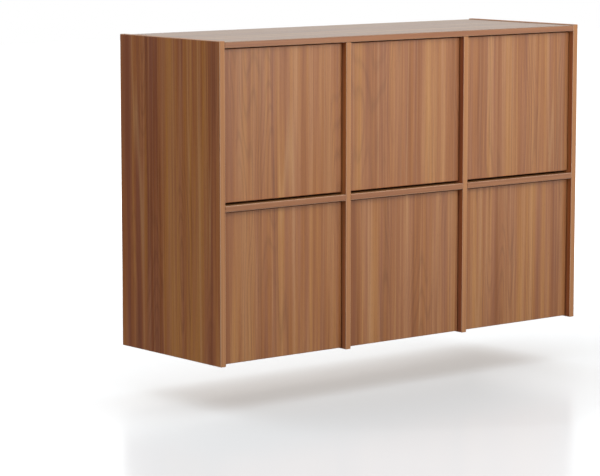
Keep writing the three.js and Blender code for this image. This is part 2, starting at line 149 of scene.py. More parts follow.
@dataclass(frozen=True)
class WalnutVeneer:
    """Crown-cut walnut veneer under satin lacquer, with a plain matching band glued on its edges.

    The eye gets soft upright stripes from plum to honey, thin darker lines, tall pointed arches, short dark
    pores, a line of painted light on each eased corner (a painted highlight in the pale default tone,
    painted shade where a darker tone is given), and a low sheen that greys the surface seen nearly edge on.
    Shares, ranges and lines are levels of the noise, from 0 to 1, and the leaf is the board's own place in
    it.
    """

    name: str
    board: Board
    plum: str = "#9B5D35"
    brown: str = "#B47546"
    honey: str = "#CB9059"
    vessel: str = "#643A22"
    straw: str = "#DDAE7A"
    band: str = "#BF7C4E"
    band_dark: str = "#AC6B41"
    # Painted light on the eased corners: pale as a painted highlight; the doors give a darker tone as
    # painted shade
    arris_painted_light: str = "#DDB596"
    roughness: float = 0.38
    specular: float = 0.5
    stripe: Streaks = Streaks(33.0, 1500.0, 1.5)
    streak: Streaks = Streaks(7.0, 420.0, 1.6)
    fibre: Streaks = Streaks(2.6, 130.0)
    blush: Streaks = Streaks(17.0, 700.0, 1.0)
    figure: Streaks = Streaks(70.0, 620.0, 0.5)
    patch: Streaks = Streaks(75.0, 480.0, 0.0)
    pore: Streaks = Streaks(0.9, 14.0, 1.0)
    hairline: Streaks = Streaks(30.0, 2600.0, 0.0)
    band_line: Streaks = Streaks(1.6, 420.0)
    deck_band_line: Streaks = Streaks(2.4, 500.0)
    streak_share: float = 0.48
    fibre_share: float = 0.24
    middle_tone: float = 0.86
    contrast: float = 1.7
    colour_stops: Three = (0.05, 0.5, 0.95)
    lean_range: Two = (0.498, 0.502)
    depth_range: Two = (0.96, 1.04)
    figure_lines: float = 19.0
    arch_sharpness: float = 3.0
    arch_share: float = 0.2
    crown_range: Two = (0.5, 0.62)
    least_crown: float = 0.06
    vessel_range: Two = (0.6, 0.74)
    vessel_share: float = 0.2
    pale_line: Two = (0.54, 0.3)
    deep_line: Two = (0.45, 0.25)
    line_width: float = 0.02
    edge_limit: float = 0.3
    face_limit: float = 0.95
    roughness_swing: float = 0.12
    relief_mm: float = 0.05
    relief_strength: float = 0.3
    leaf: float = 0.0

    def build(self) -> Material:
        """Makes the material.

        Returns:
            The veneer material.
        """
        material, tree, shader = new_material(self.name)
        coordinates = add_node(tree, "TexCoord")
        split = add_node(tree, "SeparateXYZ", {0: coordinates.outputs["Object"]})
        normal = add_node(tree, "SeparateXYZ", {0: coordinates.outputs["Normal"]})
        thick, across, along = self.board.value

        def maths(operation: str, *values: Any) -> NodeSocket:
            """One sum on values or sockets."""
            return add_node(tree, "Math", values, operation=operation).outputs[0]

        def layer(size: Streaks, order: tuple[str, str, str] = (thick, across, along)) -> NodeSocket:
            """Noise drawn out along the last axis of the order, in a size given in millimetres."""
            turned_place = add_node(tree, "CombineXYZ", [split.outputs[axis] for axis in order])
            short, long = 1 / (size.across_mm * MM), 1 / (size.along_mm * MM)
            place = add_node(tree, "Mapping", {"Vector": turned_place.outputs[0],
                                               "Location": (self.leaf, 0.0, 0.0),
                                               "Scale": (short, short, long)})
            return add_node(tree, "TexNoise", {"Vector": place.outputs[0], "Scale": 1.0,
                                               "Detail": size.detail}).outputs["Fac"]

        stripe, streak, fibre, blush, figure, patch, pore, hair = (layer(size) for size in (
            self.stripe, self.streak, self.fibre, self.blush, self.figure, self.patch, self.pore,
            self.hairline))

        # Tone: mostly the broad stripes, broken by streaks and a little fibre
        tone = maths("ADD", stripe, maths("MULTIPLY", streak, self.streak_share))
        tone = maths("ADD", tone, maths("MULTIPLY", fibre, self.fibre_share))
        tone = maths("MULTIPLY_ADD", maths("SUBTRACT", tone, self.middle_tone), self.contrast, 0.5)
        ramp = add_node(tree, "ValToRGB", {0: tone})
        first, middle, last = self.colour_stops
        stops = ramp.color_ramp.elements
        stops[0].color, stops[0].position = linear(self.plum), first
        stops[1].color, stops[1].position = linear(self.honey), last
        stops.new(middle).color = linear(self.brown)
        # Hue: a second set of stripes leans the tone to a greyer rose or to a fuller straw
        lean, depth = (add_node(tree, "MapRange", (blush, *NOISE_SPAN, *span)).outputs[0]
                       for span in (self.lean_range, self.depth_range))
        tinted = add_node(tree, "HueSaturation", {"Hue": lean, "Saturation": depth,
                                                  "Color": ramp.outputs[0]})
        # Figure: level lines of a long soft height field, which close to pointed arches where it peaks
        wave = maths("SINE", maths("MULTIPLY", figure, self.figure_lines * math.tau))
        arches = maths("POWER", maths("MULTIPLY_ADD", wave, 0.5, 0.5), self.arch_sharpness)
        vessels, crown = (add_node(tree, "MapRange", (noise, *span, least, 1.0)).outputs[0]
                          for noise, span, least in ((pore, self.vessel_range, 0.0),
                                                     (patch, self.crown_range, self.least_crown)))
        dark = maths("ADD", maths("MULTIPLY", maths("MULTIPLY", arches, crown), self.arch_share),
                     maths("MULTIPLY", vessels, self.vessel_share))
        # Hairlines: a thin pale and a thin dark line wherever another long field passes two set levels
        pale, deep = (add_node(tree, "MapRange", (maths("ABSOLUTE", maths("SUBTRACT", hair, level)),
                                                  0.0, self.line_width, share, 0.0)).outputs[0]
                      for level, share in (self.pale_line, self.deep_line))
        dark = maths("ADD", dark, deep)
        face = tinted.outputs[0]
        for share, colour in ((pale, self.straw), (dark, self.vessel)):
            face = add_node(tree, "Mix", {SHARE: share, FIRST: face, SECOND: linear(colour)},
                            data_type="RGBA", clamp_factor=True).outputs[MIXED]
        # Edge band: fine straight lines along the edge, on every face that doesn't look along the thickness
        lines = (layer(self.deck_band_line) if self.board is Board.DECK
                 else layer(self.band_line, (across, thick, along)))
        band_tone = add_node(tree, "MapRange", (lines, *BAND_SPAN, 0.0, 1.0))
        band = add_node(tree, "Mix", {SHARE: band_tone.outputs[0], FIRST: linear(self.band_dark),
                                      SECOND: linear(self.band)}, data_type="RGBA")
        facing = maths("ABSOLUTE", normal.outputs[thick])
        on_edge = maths("LESS_THAN", facing, self.edge_limit)
        on_face = maths("GREATER_THAN", facing, self.face_limit)
        # Arris: the eased corner between band and face, a painted highlight on the carcass and painted shade
        # on the doors
        whole = linear(self.arris_painted_light)
        for share, colour in ((on_edge, band.outputs[MIXED]), (on_face, face)):
            whole = add_node(tree, "Mix", {SHARE: share, FIRST: whole, SECOND: colour},
                             data_type="RGBA").outputs[MIXED]
        tree.links.new(whole, shader.inputs["Base Color"])
        swing = self.roughness_swing
        rough = maths("MULTIPLY_ADD", fibre, swing, self.roughness - swing / 2)
        tree.links.new(maths("MULTIPLY_ADD", vessels, swing, rough), shader.inputs["Roughness"])
        height = maths("SUBTRACT", maths("MULTIPLY", fibre, 0.5), vessels)
        bump = add_node(tree, "Bump", {"Strength": self.relief_strength, "Distance": self.relief_mm * MM,
                                       "Height": height})
        tree.links.new(bump.outputs[0], shader.inputs["Normal"])
        shader.inputs["Specular IOR Level"].default_value = self.specular
        shader.inputs["IOR"].default_value = LACQUER_IOR
        return material


@dataclass(frozen=True)
class PlainFinish:
    """One colour with a faint mottle in its brightness and a fine grain in its gloss and its relief."""

    name: str
    colour: str
    roughness: float
    grain_mm: float = 0.6
    grain_stretch: float = 1.0
    mottle_mm: float = 16.0
    mottle_detail: float = 2.0
    tone_range: Two = (0.95, 1.04)
    gloss_range: Two = (-0.06, 0.1)
    relief_mm: float = 0.03
    relief_strength: float = 0.3
    constants: tuple = ()

    def build(self) -> Material:
        """Makes the material.

        Returns:
            The finish.
        """
        material, tree, shader = new_material(self.name)
        for socket, value in self.constants:
            shader.inputs[socket].default_value = value
        place = add_node(tree, "TexCoord").outputs["Object"]
        short = 1 / (self.grain_mm * MM)
        fine = add_node(tree, "Mapping", {"Vector": place,
                                          "Scale": (short, short, self.grain_stretch * short)})
        grain = add_node(tree, "TexNoise", {"Vector": fine.outputs[0], "Scale": 1.0, "Detail": 2.0})
        mottle = add_node(tree, "TexNoise", {"Vector": place, "Scale": 1 / (self.mottle_mm * MM),
                                             "Detail": self.mottle_detail})
        value = add_node(tree, "MapRange", (mottle.outputs[0], *NOISE_SPAN, *self.tone_range))
        tint = add_node(tree, "HueSaturation", {"Color": linear(self.colour), "Value": value.outputs[0]})
        tree.links.new(tint.outputs[0], shader.inputs["Base Color"])
        rough = add_node(tree, "MapRange", (grain.outputs[0], *NOISE_SPAN,
                                            *(self.roughness + change for change in self.gloss_range)))
        tree.links.new(rough.outputs[0], shader.inputs["Roughness"])
        bump = add_node(tree, "Bump", {"Strength": self.relief_strength, "Distance": self.relief_mm * MM,
                                       "Height": grain.outputs[0]})
        tree.links.new(bump.outputs[0], shader.inputs["Normal"])
        return material


@dataclass(frozen=True)
class PlatedSteel(PlainFinish):
    """Pressed steel with a plated coat: cool, even reflections, fine drawing lines and a faint mottle."""

    grain_mm: float = 0.5
    grain_stretch: float = 0.06
    mottle_mm: float = 7.0
    mottle_detail: float = 3.0
    tone_range: Two = (0.93, 1.05)
    gloss_range: Two = (-0.05, 0.08)
    relief_mm: float = 0.02
    relief_strength: float = 0.15
    constants: tuple = (("Metallic", 1.0),)


@dataclass(frozen=True)
class MouldedAcetal(PlainFinish):
    """Injection-moulded acetal: slightly waxy, with the fine spark-eroded grain of its mould."""

    roughness: float = 0.42
    constants: tuple = (("IOR", 1.48),)


class Slot(Enum):
    """The record's material slots that new pieces take their finish from."""

    NICKEL = "nickel_plated_steel"
    ZINC = "zinc_plated_steel"
    GREY = "grey_acetal"
    DARK = "dark_acetal"


class Aim(Enum):
    """Where a shape's own +Z looks once it is turned, as the rows of a turning matrix."""

    UP = ((1, 0, 0), (0, 1, 0), (0, 0, 1))
    BACK = ((1, 0, 0), (0, 0, 1), (0, -1, 0))
    RIGHT = ((0, 0, 1), (0, 1, 0), (-1, 0, 0))
    LEFT = ((0, 0, -1), (0, 1, 0), (1, 0, 0))


@dataclass(frozen=True)
class Shape:
    """A closed surface in millimetres: corner points and faces as tuples of point numbers."""

    points: np.ndarray
    faces: tuple

    def aimed(self, aim: Aim, offset: Iterable[float] = (0, 0, 0)) -> "Shape":
        """The surface turned so that its +Z looks along the aim, then shifted by the offset."""
        return Shape(self.points @ np.array(aim.value, float).T + np.array(tuple(offset), float), self.faces)

    def mirrored(self) -> "Shape":
        """The surface with left and right exchanged and its faces listed the other way round."""
        return Shape(self.points * (-1, 1, 1), tuple(face[::-1] for face in self.faces))

    def __add__(self, other: "Shape") -> "Shape":
        """Both surfaces listed as one."""
        start = len(self.points)
        moved = tuple(tuple(i + start for i in face) for face in other.faces)
        return Shape(np.concatenate([self.points, other.points]), self.faces + moved)


def grid_faces(rows: int, columns: int) -> tuple:
    """Quads between rows of points, each row closed on itself.

    Args:
        rows: number of rows of points.
        columns: number of points in a row.

    Returns:
        Faces as tuples of indices, row by row.
    """
    row, column = np.meshgrid(np.arange(rows - 1), np.arange(columns), indexing="ij")
    ahead = (column + 1) % columns
    quads = np.stack([row * columns + column, row * columns + ahead, (row + 1) * columns + ahead,
                      (row + 1) * columns + column], axis=-1)
    return tuple(map(tuple, quads.reshape(-1, 4).tolist()))


def turn_of(steps: int) -> np.ndarray:
    """Even angles round a full turn, without the last."""
    return np.linspace(0, math.tau, steps, endpoint=False)


def lathe(profile: Iterable[tuple[Radius, float]], steps: int = 48) -> Shape:
    """A surface round Z: each profile row is a radius times the cosine and sine of the turn, at one height.

    Args:
        profile: radius (a number, or one for each step) and height, listed with the solid on the left.
        steps: points round the turn.

    Returns:
        The closed surface.
    """
    turn = turn_of(steps)
    radius = np.array([np.broadcast_to(row[0], (steps,)) for row in profile], float)
    height = np.array([row[1] for row in profile], float)[:, None] * np.ones(steps)
    points = np.stack([radius * np.cos(turn), radius * np.sin(turn), height], axis=-1)
    return Shape(points.reshape(-1, 3), grid_faces(len(radius), steps))


def eased(centre_radius: float, centre_height: float, ease: float, start: float, end: float) -> list:
    """Profile rows on a quarter turn from one angle to another about an edge's rounding centre.

    Args:
        centre_radius: radius of the rounding centre.
        centre_height: height of the rounding centre.
        ease: rounding radius.
        start: first angle in degrees, from outwards towards up.
        end: last angle in degrees.

    Returns:
        Radius and height of each row.
    """
    angles = np.radians(np.linspace(start, end, EASE_ROWS))
    return [(centre_radius + ease * math.cos(a), centre_height + ease * math.sin(a)) for a in angles]


def prism(outline: np.ndarray, low: float, high: float) -> Shape:
    """A flat outline carried up Z and closed at both ends.

    Args:
        outline: points in X and Y, in either direction.
        low: where it starts.
        high: where it ends.

    Returns:
        The closed surface.
    """
    outline = np.asarray(outline, float)
    ahead = np.roll(outline, -1, axis=0)
    area = np.sum(outline[:, 0] * ahead[:, 1] - ahead[:, 0] * outline[:, 1])
    outline = outline if area > 0 else outline[::-1]
    count = len(outline)
    points = np.column_stack([np.tile(outline, (2, 1)), np.repeat([low, high], count)])
    return Shape(points, grid_faces(2, count) + (tuple(range(count))[::-1], tuple(range(count, 2 * count))))


def rounded(half_x: float, half_y: float, corner: float, steps: int = 8) -> np.ndarray:
    """A rectangle with round corners: a quarter turn of the corner radius about each corner's centre.

    Args:
        half_x: half its size along X.
        half_y: half its size along Y.
        corner: corner radius.
        steps: spans on each corner.

    Returns:
        The outline's points, anticlockwise.
    """
    quarter = np.linspace(0, math.pi / 2, steps + 1)
    turn = (quarter[None, :] + np.arange(4)[:, None] * math.pi / 2).ravel()
    signs = np.array([(1, 1), (-1, 1), (-1, -1), (1, -1)], float)
    centres = np.repeat(signs * (half_x - corner, half_y - corner), steps + 1, axis=0)
    return centres + corner * np.stack([np.cos(turn), np.sin(turn)], axis=-1)


def rounded_reach(half_x: float, half_y: float, corner: float, steps: int) -> np.ndarray:
    """How far a round-cornered rectangle reaches from its middle in each direction.

    The reach is the nearer of the two sides' distances, or in a corner the far crossing of the ray with the
    corner's circle: the ray's share of the circle's centre plus the root of what is left of the radius.

    Args:
        half_x: half its size along X.
        half_y: half its size along Y.
        corner: corner radius.
        steps: directions round the turn.

    Returns:
        One reach for each direction.
    """
    turn = turn_of(steps)
    across, up = np.abs(np.cos(turn)), np.abs(np.sin(turn))
    straight = np.minimum(half_x / np.maximum(across, 1e-9), half_y / np.maximum(up, 1e-9))
    centre_x, centre_y = half_x - corner, half_y - corner
    share = across * centre_x + up * centre_y
    rest = corner ** 2 - centre_x ** 2 - centre_y ** 2 + share ** 2
    in_corner = (straight * across > centre_x) & (straight * up > centre_y)
    return np.where(in_corner, share + np.sqrt(np.maximum(rest, 0)), straight)


def screw_head(radius: float, height: float, steps: int = 48, rings: int = 16) -> Shape:
    """A pan head with a cross recess, its underside on zero and its crown up.

    The height over the disc is the head's height times the root of one less the fourth power of the share of
    the radius, less a soft-edged cross pit wherever the nearer of the cross's two arms is within the slot's
    half width.

    Args:
        radius: the head's radius.
        height: the head's height.
        steps: points round the turn.
        rings: rows from the middle to the rim.

    Returns:
        The closed surface.
    """
    slot_half_width, slot_reach, slot_depth, softness = 0.13, 0.58, 0.6, 30.0
    rim, near_rim, crown_edge = 1.0, 0.985, 0.95
    share = np.concatenate([[rim, near_rim], np.linspace(crown_edge, 0, rings)])[:, None]
    turn = turn_of(steps)
    arm = share * np.minimum(np.abs(np.cos(turn)), np.abs(np.sin(turn)))
    pit = 1 / (1 + np.exp((arm - slot_half_width) * softness))
    pit = pit / (1 + np.exp((share - slot_reach) * softness))
    crown = height * (np.sqrt(np.clip(1 - share ** 4, 0, 1)) - slot_depth * pit)
    ring = np.stack([share * radius * np.cos(turn), share * radius * np.sin(turn), crown], axis=-1)
    under = np.zeros((1, steps, 3))
    points = np.concatenate([under, ring]).reshape(-1, 3)
    return Shape(points, grid_faces(len(share) + 1, steps))


def pair(shape: Shape, aim: Aim, middle: Two, reach: float) -> Shape:
    """One surface twice, turned along the aim, a reach below and a reach above a middle in X and Y."""
    return shape.aimed(aim, (*middle, -reach)) + shape.aimed(aim, (*middle, reach))


def ease_edges(piece: Object, edge_mm: float, weld_mm: float = 0.002) -> None:
    """Joins a surface's corner points and rounds its edges.

    Args:
        piece: the object.
        edge_mm: radius of the eased edges, or zero for none.
        weld_mm: points nearer than this are one.
    """
    weld = piece.modifiers.new("closed_seams", "WELD")
    weld.merge_threshold = weld_mm * MM
    if edge_mm:
        bevel = piece.modifiers.new("eased_edges", "BEVEL")
        bevel.width = edge_mm * MM
        bevel.segments = 2
        bevel.limit_method = "ANGLE"
        bevel.angle_limit = CREASE
        bevel.use_clamp_overlap = True
        bevel.harden_normals = True


def shown(name: str, shape: Shape, finishes: dict[Slot, Material], slot: Slot, body: str,
          stands_for: str = "", edge_mm: float = 0.0) -> None:
    """Puts a surface into the scene as a piece of the unit.

    Args:
        name: the piece's name.
        shape: its surface, placed, in millimetres.
        finishes: the material of each slot.
        slot: the record's slot that it takes its finish from.
        body: the body that it moves with.
        stands_for: the construction node that it replaces, if any.
        edge_mm: radius of its eased edges, or zero for none.
    """
    mesh = bpy.data.meshes.new(name)
    mesh.from_pydata((shape.points * MM).tolist(), [], shape.faces)
    mesh.polygons.foreach_set("use_smooth", np.ones(len(mesh.polygons), bool))
    mesh.materials.append(finishes[slot])
    piece = bpy.data.objects.new(name, mesh)
    bpy.context.scene.collection.objects.link(piece)
    ease_edges(piece, edge_mm)
    mesh.set_sharp_from_angle(angle=CREASE)
    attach(piece, body)
    if stands_for:
        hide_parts(stands_for)
    log.info("%s rides on %s", name, body)


# Each door's place in the noise; the left column shares one, so its stripes run on from door to door
DOOR_LEAVES = {"upper_left": 420.59, "upper_centre": 86.31, "upper_right": 360.31,
               "lower_left": 420.59, "lower_centre": 152.07, "lower_right": 616.5}


@dataclass(frozen=True)
class Finishes:
    """Every finish on the unit, made once."""

    upright: Material
    doors: dict[str, Material]
    deck: Material
    back: Material
    fittings: dict[Slot, Material]

    @staticmethod
    def mixed() -> "Finishes":
        """Makes the materials.

        Returns:
            The unit's finishes.
        """
        return Finishes(
            # Uprights: redder, darker tones partly painted shade for sides in shade; paler band partly
            # painted sheen
            upright=WalnutVeneer("walnut_veneer_uprights", Board.UPRIGHT, plum="#945538", brown="#B06E44",
                                 honey="#C2834A", band="#D5996B", band_dark="#C5895D", specular=0.12,
                                 contrast=2.2, stripe=Streaks(42.0, 1800.0, 1.5), leaf=64.39).build(),
            # Doors: the darker eased corners are painted shade, deepening the dark line under the board
            # above
            doors={door: WalnutVeneer(f"walnut_veneer_door_{door}", Board.DOOR, arris_painted_light="#9A5C36",
                                      leaf=leaf).build() for door, leaf in DOOR_LEAVES.items()},
            # Decks: tones less red than the doors', partly painted sheen greying the top seen nearly edge on
            deck=WalnutVeneer("walnut_veneer_decks", Board.DECK, plum="#885C3B", brown="#A27346",
                              honey="#B98F54", band="#B5784B", band_dark="#A4673F", roughness=0.31).build(),
            back=WalnutVeneer("walnut_veneer_back_boards", Board.DOOR, plum="#6E412D", brown="#8C5837",
                              honey="#A06C44", roughness=0.55, specular=0.2).build(),
            fittings={Slot.NICKEL: PlatedSteel("nickel_plated_steel_polished", "#CDCAC4", 0.26).build(),
                      Slot.ZINC: PlatedSteel("zinc_plated_steel_drawn", "#B4B9BC", 0.38).build(),
                      Slot.GREY: MouldedAcetal("grey_acetal_moulded", "#9D9D9A").build(),
                      Slot.DARK: MouldedAcetal("dark_acetal_moulded", "#3A3A3C", 0.5).build()})


@dataclass
class Carcass:
    """The boards, which keep their construction meshes, and the steel that hangs them."""

    finishes: Finishes
    board_edge_mm: float = 1.0
    steel_edge_mm: float = 0.4
    hanger_screw: Two = (4.0, 1.8)
    hanger_face: float = 567.8
    hanger_screw_from_wall: float = 13.75
    hanger_screw_heights: tuple[float, ...] = (-23.25, -5.25, 12.75)

    def finish_for(self, name: str) -> Material:
        """The finish of a construction node, by the words in its name.

        Args:
            name: the node's name.

        Returns:
            Its material.
        """
        deck, fittings = self.finishes.deck, self.finishes.fittings
        words = {"back_board": self.finishes.back, "top_board": deck, "shelf": deck, "bottom_board": deck,
                 "hinge": fittings[Slot.NICKEL], "hanger": fittings[Slot.ZINC], "rail": fittings[Slot.ZINC],
                 "plunger": fittings[Slot.DARK], "latch": fittings[Slot.GREY]}
        words |= {f"{door}_door": finish for door, finish in self.finishes.doors.items()}
        return next((finish for word, finish in words.items() if word in name), self.finishes.upright)

    def build(self) -> None:
        """Gives every construction node its finish and screws the hangers to the side panels."""
        for name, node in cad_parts.items():
            node.data.materials.clear()
            node.data.materials.append(self.finish_for(name))
            if "hinge" not in name and "latch" not in name:
                steel = "rail" in name or "hanger" in name
                ease_edges(node, self.steel_edge_mm if steel else self.board_edge_mm)
        head = screw_head(*self.hanger_screw)
        for side, sign, aim in (("left", -1, Aim.RIGHT), ("right", 1, Aim.LEFT)):
            heads = [head.aimed(aim, (sign * self.hanger_face, -self.hanger_screw_from_wall, height))
                     for height in self.hanger_screw_heights]
            shown(f"screws_{side}_hanger", sum(heads[1:], heads[0]), self.finishes.fittings, Slot.ZINC,
                  "root")


@dataclass
class CupHinge:
    """A concealed cup hinge, drawn about its pin: X away from the hinge side, Y to the back, Z up.

    The drawn cup sits in the door; the cranked arm clips round the door's edge to a plate on the upright.
    Wings and plate are given as half sizes and corner radius, each kind of screw as its head's radius and
    height, and the mouth's rows as their width past the cup's inner wall and their depth below its rim.
    """

    cup_centre: float = 3.5
    cup_radius: float = 17.5
    cup_inner: float = 16.5
    cup_bottom: float = -3.5
    cup_corner: float = 2.0
    cup_sheet: float = 0.6
    mouth: tuple = ((1.1, 0.0), (0.9, 0.12), (0.35, 0.12), (0.0, 0.45))
    dimple_shares: Two = (0.55, 0.5)
    dimple_height: float = 0.35
    rim_low: float = 10.2
    rim_high: float = 11.2
    rim_radius: float = 18.9
    rim_ease: float = 0.3
    wings: Three = (11.0, 28.0, 5.0)
    cup_screw: Two = (3.4, 1.5)
    cup_screw_reach: float = 23.0
    pin_radius: float = 1.2
    pin_half_length: float = 16.2
    knuckle_radius: float = 2.4
    knuckle_bore: float = 1.5
    neck_radius: float = 23.79
    neck_angle: float = 36.4
    neck_bend: float = 5.0
    neck_bend_angle: float = 20.0
    neck_turn_angle: float = 86.0
    neck_fall: float = 9.0
    neck_half_width: float = 5.0
    neck_thickness: float = 2.0
    arm_face: float = -9.9
    plate_face: float = -17.9
    plate_thickness: float = 2.4
    plate: Three = (26.0, 15.0, 6.0)
    plate_screw: Two = (4.3, 1.9)
    plate_screw_reach: float = 18.0
    boss_radii: Two = (6.2, 5.6)
    boss_height: float = 0.5
    boss_sunk: float = 1.0
    body_length: float = 42.0
    body_nose: float = 5.0
    body_tail: float = 6.0
    adjuster: Two = (2.9, 0.7)
    adjuster_inset: float = 12.0
    arm_edge_mm: float = 0.45

    def cup(self) -> Shape:
        """The drawn cup with its rim, wings and pin, all rows round the cup's own middle.

        Returns:
            The cup's surface.
        """
        steps = 144
        rim = np.maximum(rounded_reach(*self.wings, steps), self.rim_radius)
        ease, corner = self.rim_ease, self.cup_corner
        floor, inner_corner = self.cup_bottom + self.cup_sheet, corner - self.cup_sheet
        foot, top = (self.cup_inner * share for share in self.dimple_shares)
        rows: list = [(0.0, self.cup_bottom)]
        rows += eased(self.cup_radius - corner, self.cup_bottom + corner, corner, -90, 0)
        rows += [(self.cup_radius, self.rim_low), (rim - ease, self.rim_low), (rim, self.rim_low + ease),
                 (rim, self.rim_high - ease), (rim - ease, self.rim_high)]
        rows += [(self.cup_inner + width, self.rim_high - depth) for width, depth in self.mouth]
        rows += eased(self.cup_inner - inner_corner, floor + inner_corner, inner_corner, 0, -90)
        rows += [(foot, floor), (top, floor + self.dimple_height), (0.0, floor + self.dimple_height)]
        cup = lathe(rows, steps).aimed(Aim.BACK, (self.cup_centre, 0, 0))
        radius, half = self.pin_radius, self.pin_half_length
        return cup + lathe([(0.0, -half), (radius, -half), (radius, half), (0.0, half)], steps=24)

    def arm_line(self) -> np.ndarray:
        """The neck's middle line in X and Y.

        Straight out of the cup, a curve to the circle that the door's edge swings in, along that circle, and
        a curve down to the line of the arm; each curve is (1-t)^2 start + 2t(1-t) corner + t^2 end.

        Returns:
            The line's points from the pin to the arm.
        """
        def polar(radius: float, degrees: Radius) -> np.ndarray:
            """The point at a radius and an angle."""
            angle = np.radians(degrees)
            return np.stack([radius * np.cos(angle), radius * np.sin(angle)], axis=-1)

        def curve(start: np.ndarray, corner: np.ndarray, end: np.ndarray) -> np.ndarray:
            """A curve between two points that heads for the corner and leaves from it."""
            t = np.linspace(0, 1, CURVE_POINTS)[:, None]
            return (1 - t) ** 2 * start + 2 * t * (1 - t) * corner + t ** 2 * end

        across = self.arm_face - self.neck_thickness / 2
        turn = polar(self.neck_radius, self.neck_turn_angle)
        slope = -1 / math.tan(math.radians(self.neck_turn_angle))
        corner = np.array([across, turn[1] + (across - turn[0]) * slope])
        bend_start = polar(self.neck_radius - self.neck_bend, self.neck_angle)
        bend_corner = polar(self.neck_radius / math.cos(math.radians(self.neck_bend_angle)), self.neck_angle)
        bend_end = self.neck_angle + self.neck_bend_angle
        return np.concatenate([
            np.linspace((0.0, 0.0), bend_start, EASE_ROWS)[:-1],
            curve(bend_start, bend_corner, polar(self.neck_radius, bend_end))[:-1],
            polar(self.neck_radius, np.linspace(bend_end, self.neck_turn_angle, CURVE_POINTS))[:-1],
            curve(turn, corner, np.array([across, corner[1] + self.neck_fall]))])

    def body_span(self) -> Two:
        """Where the arm's straight body starts and ends along Y."""
        start = float(self.arm_line()[-1, 1]) - self.neck_thickness
        return start, start + self.body_length

    def arm(self) -> Shape:
        """The cranked arm with its body, knuckle and plate.

        Both sides of the neck are its middle line set off by half its thickness along the line's normal.

        Returns:
            The arm's surface.
        """
        line = self.arm_line()
        along = np.gradient(line, axis=0)
        along /= np.linalg.norm(along, axis=1, keepdims=True)
        normal = np.stack([-along[:, 1], along[:, 0]], axis=-1) * self.neck_thickness / 2
        start, end = self.body_span()
        low, high = self.plate_face - self.plate_thickness / 2, self.arm_face
        body = [(high, end - self.body_tail), (high - self.body_tail, end), (low, end),
                (low, start + self.body_nose)]
        outline = np.concatenate([(line + normal)[::-1], line - normal, np.array(body)])
        width, bore, radius = self.neck_half_width, self.knuckle_bore, self.knuckle_radius
        knuckle = lathe([(bore, width), (bore, -width), (radius, -width), (radius, width), (bore, width)],
                        steps=32)
        plate = prism(rounded(*self.plate), self.plate_face - self.plate_thickness, self.plate_face)
        middle = (start + self.body_nose + end) / 2
        (foot, top), height = self.boss_radii, self.boss_height
        boss = lathe([(0.0, -self.boss_sunk), (foot, -self.boss_sunk), (foot, height / 2), (top, height),
                      (0.0, height)], steps=40)
        return (prism(outline, -width, width) + knuckle + plate.aimed(Aim.RIGHT, (0, middle, 0))
                + pair(boss, Aim.RIGHT, (self.plate_face, middle), self.plate_screw_reach))

    def cup_screws(self) -> Shape:
        """Two pan heads on the cup's wings."""
        return pair(screw_head(*self.cup_screw), Aim.BACK, (self.cup_centre, self.rim_high),
                    self.cup_screw_reach)

    def arm_screws(self) -> Shape:
        """Two pan heads on the plate and the arm's two adjusting screws."""
        start, end = self.body_span()
        middle = (start + self.body_nose + end) / 2
        near, far = (screw_head(*self.adjuster).aimed(Aim.RIGHT, (self.arm_face, place, 0))
                     for place in (start + self.adjuster_inset, end - self.adjuster_inset))
        return pair(screw_head(*self.plate_screw), Aim.RIGHT, (self.plate_face + self.boss_height, middle),
                    self.plate_screw_reach) + near + far


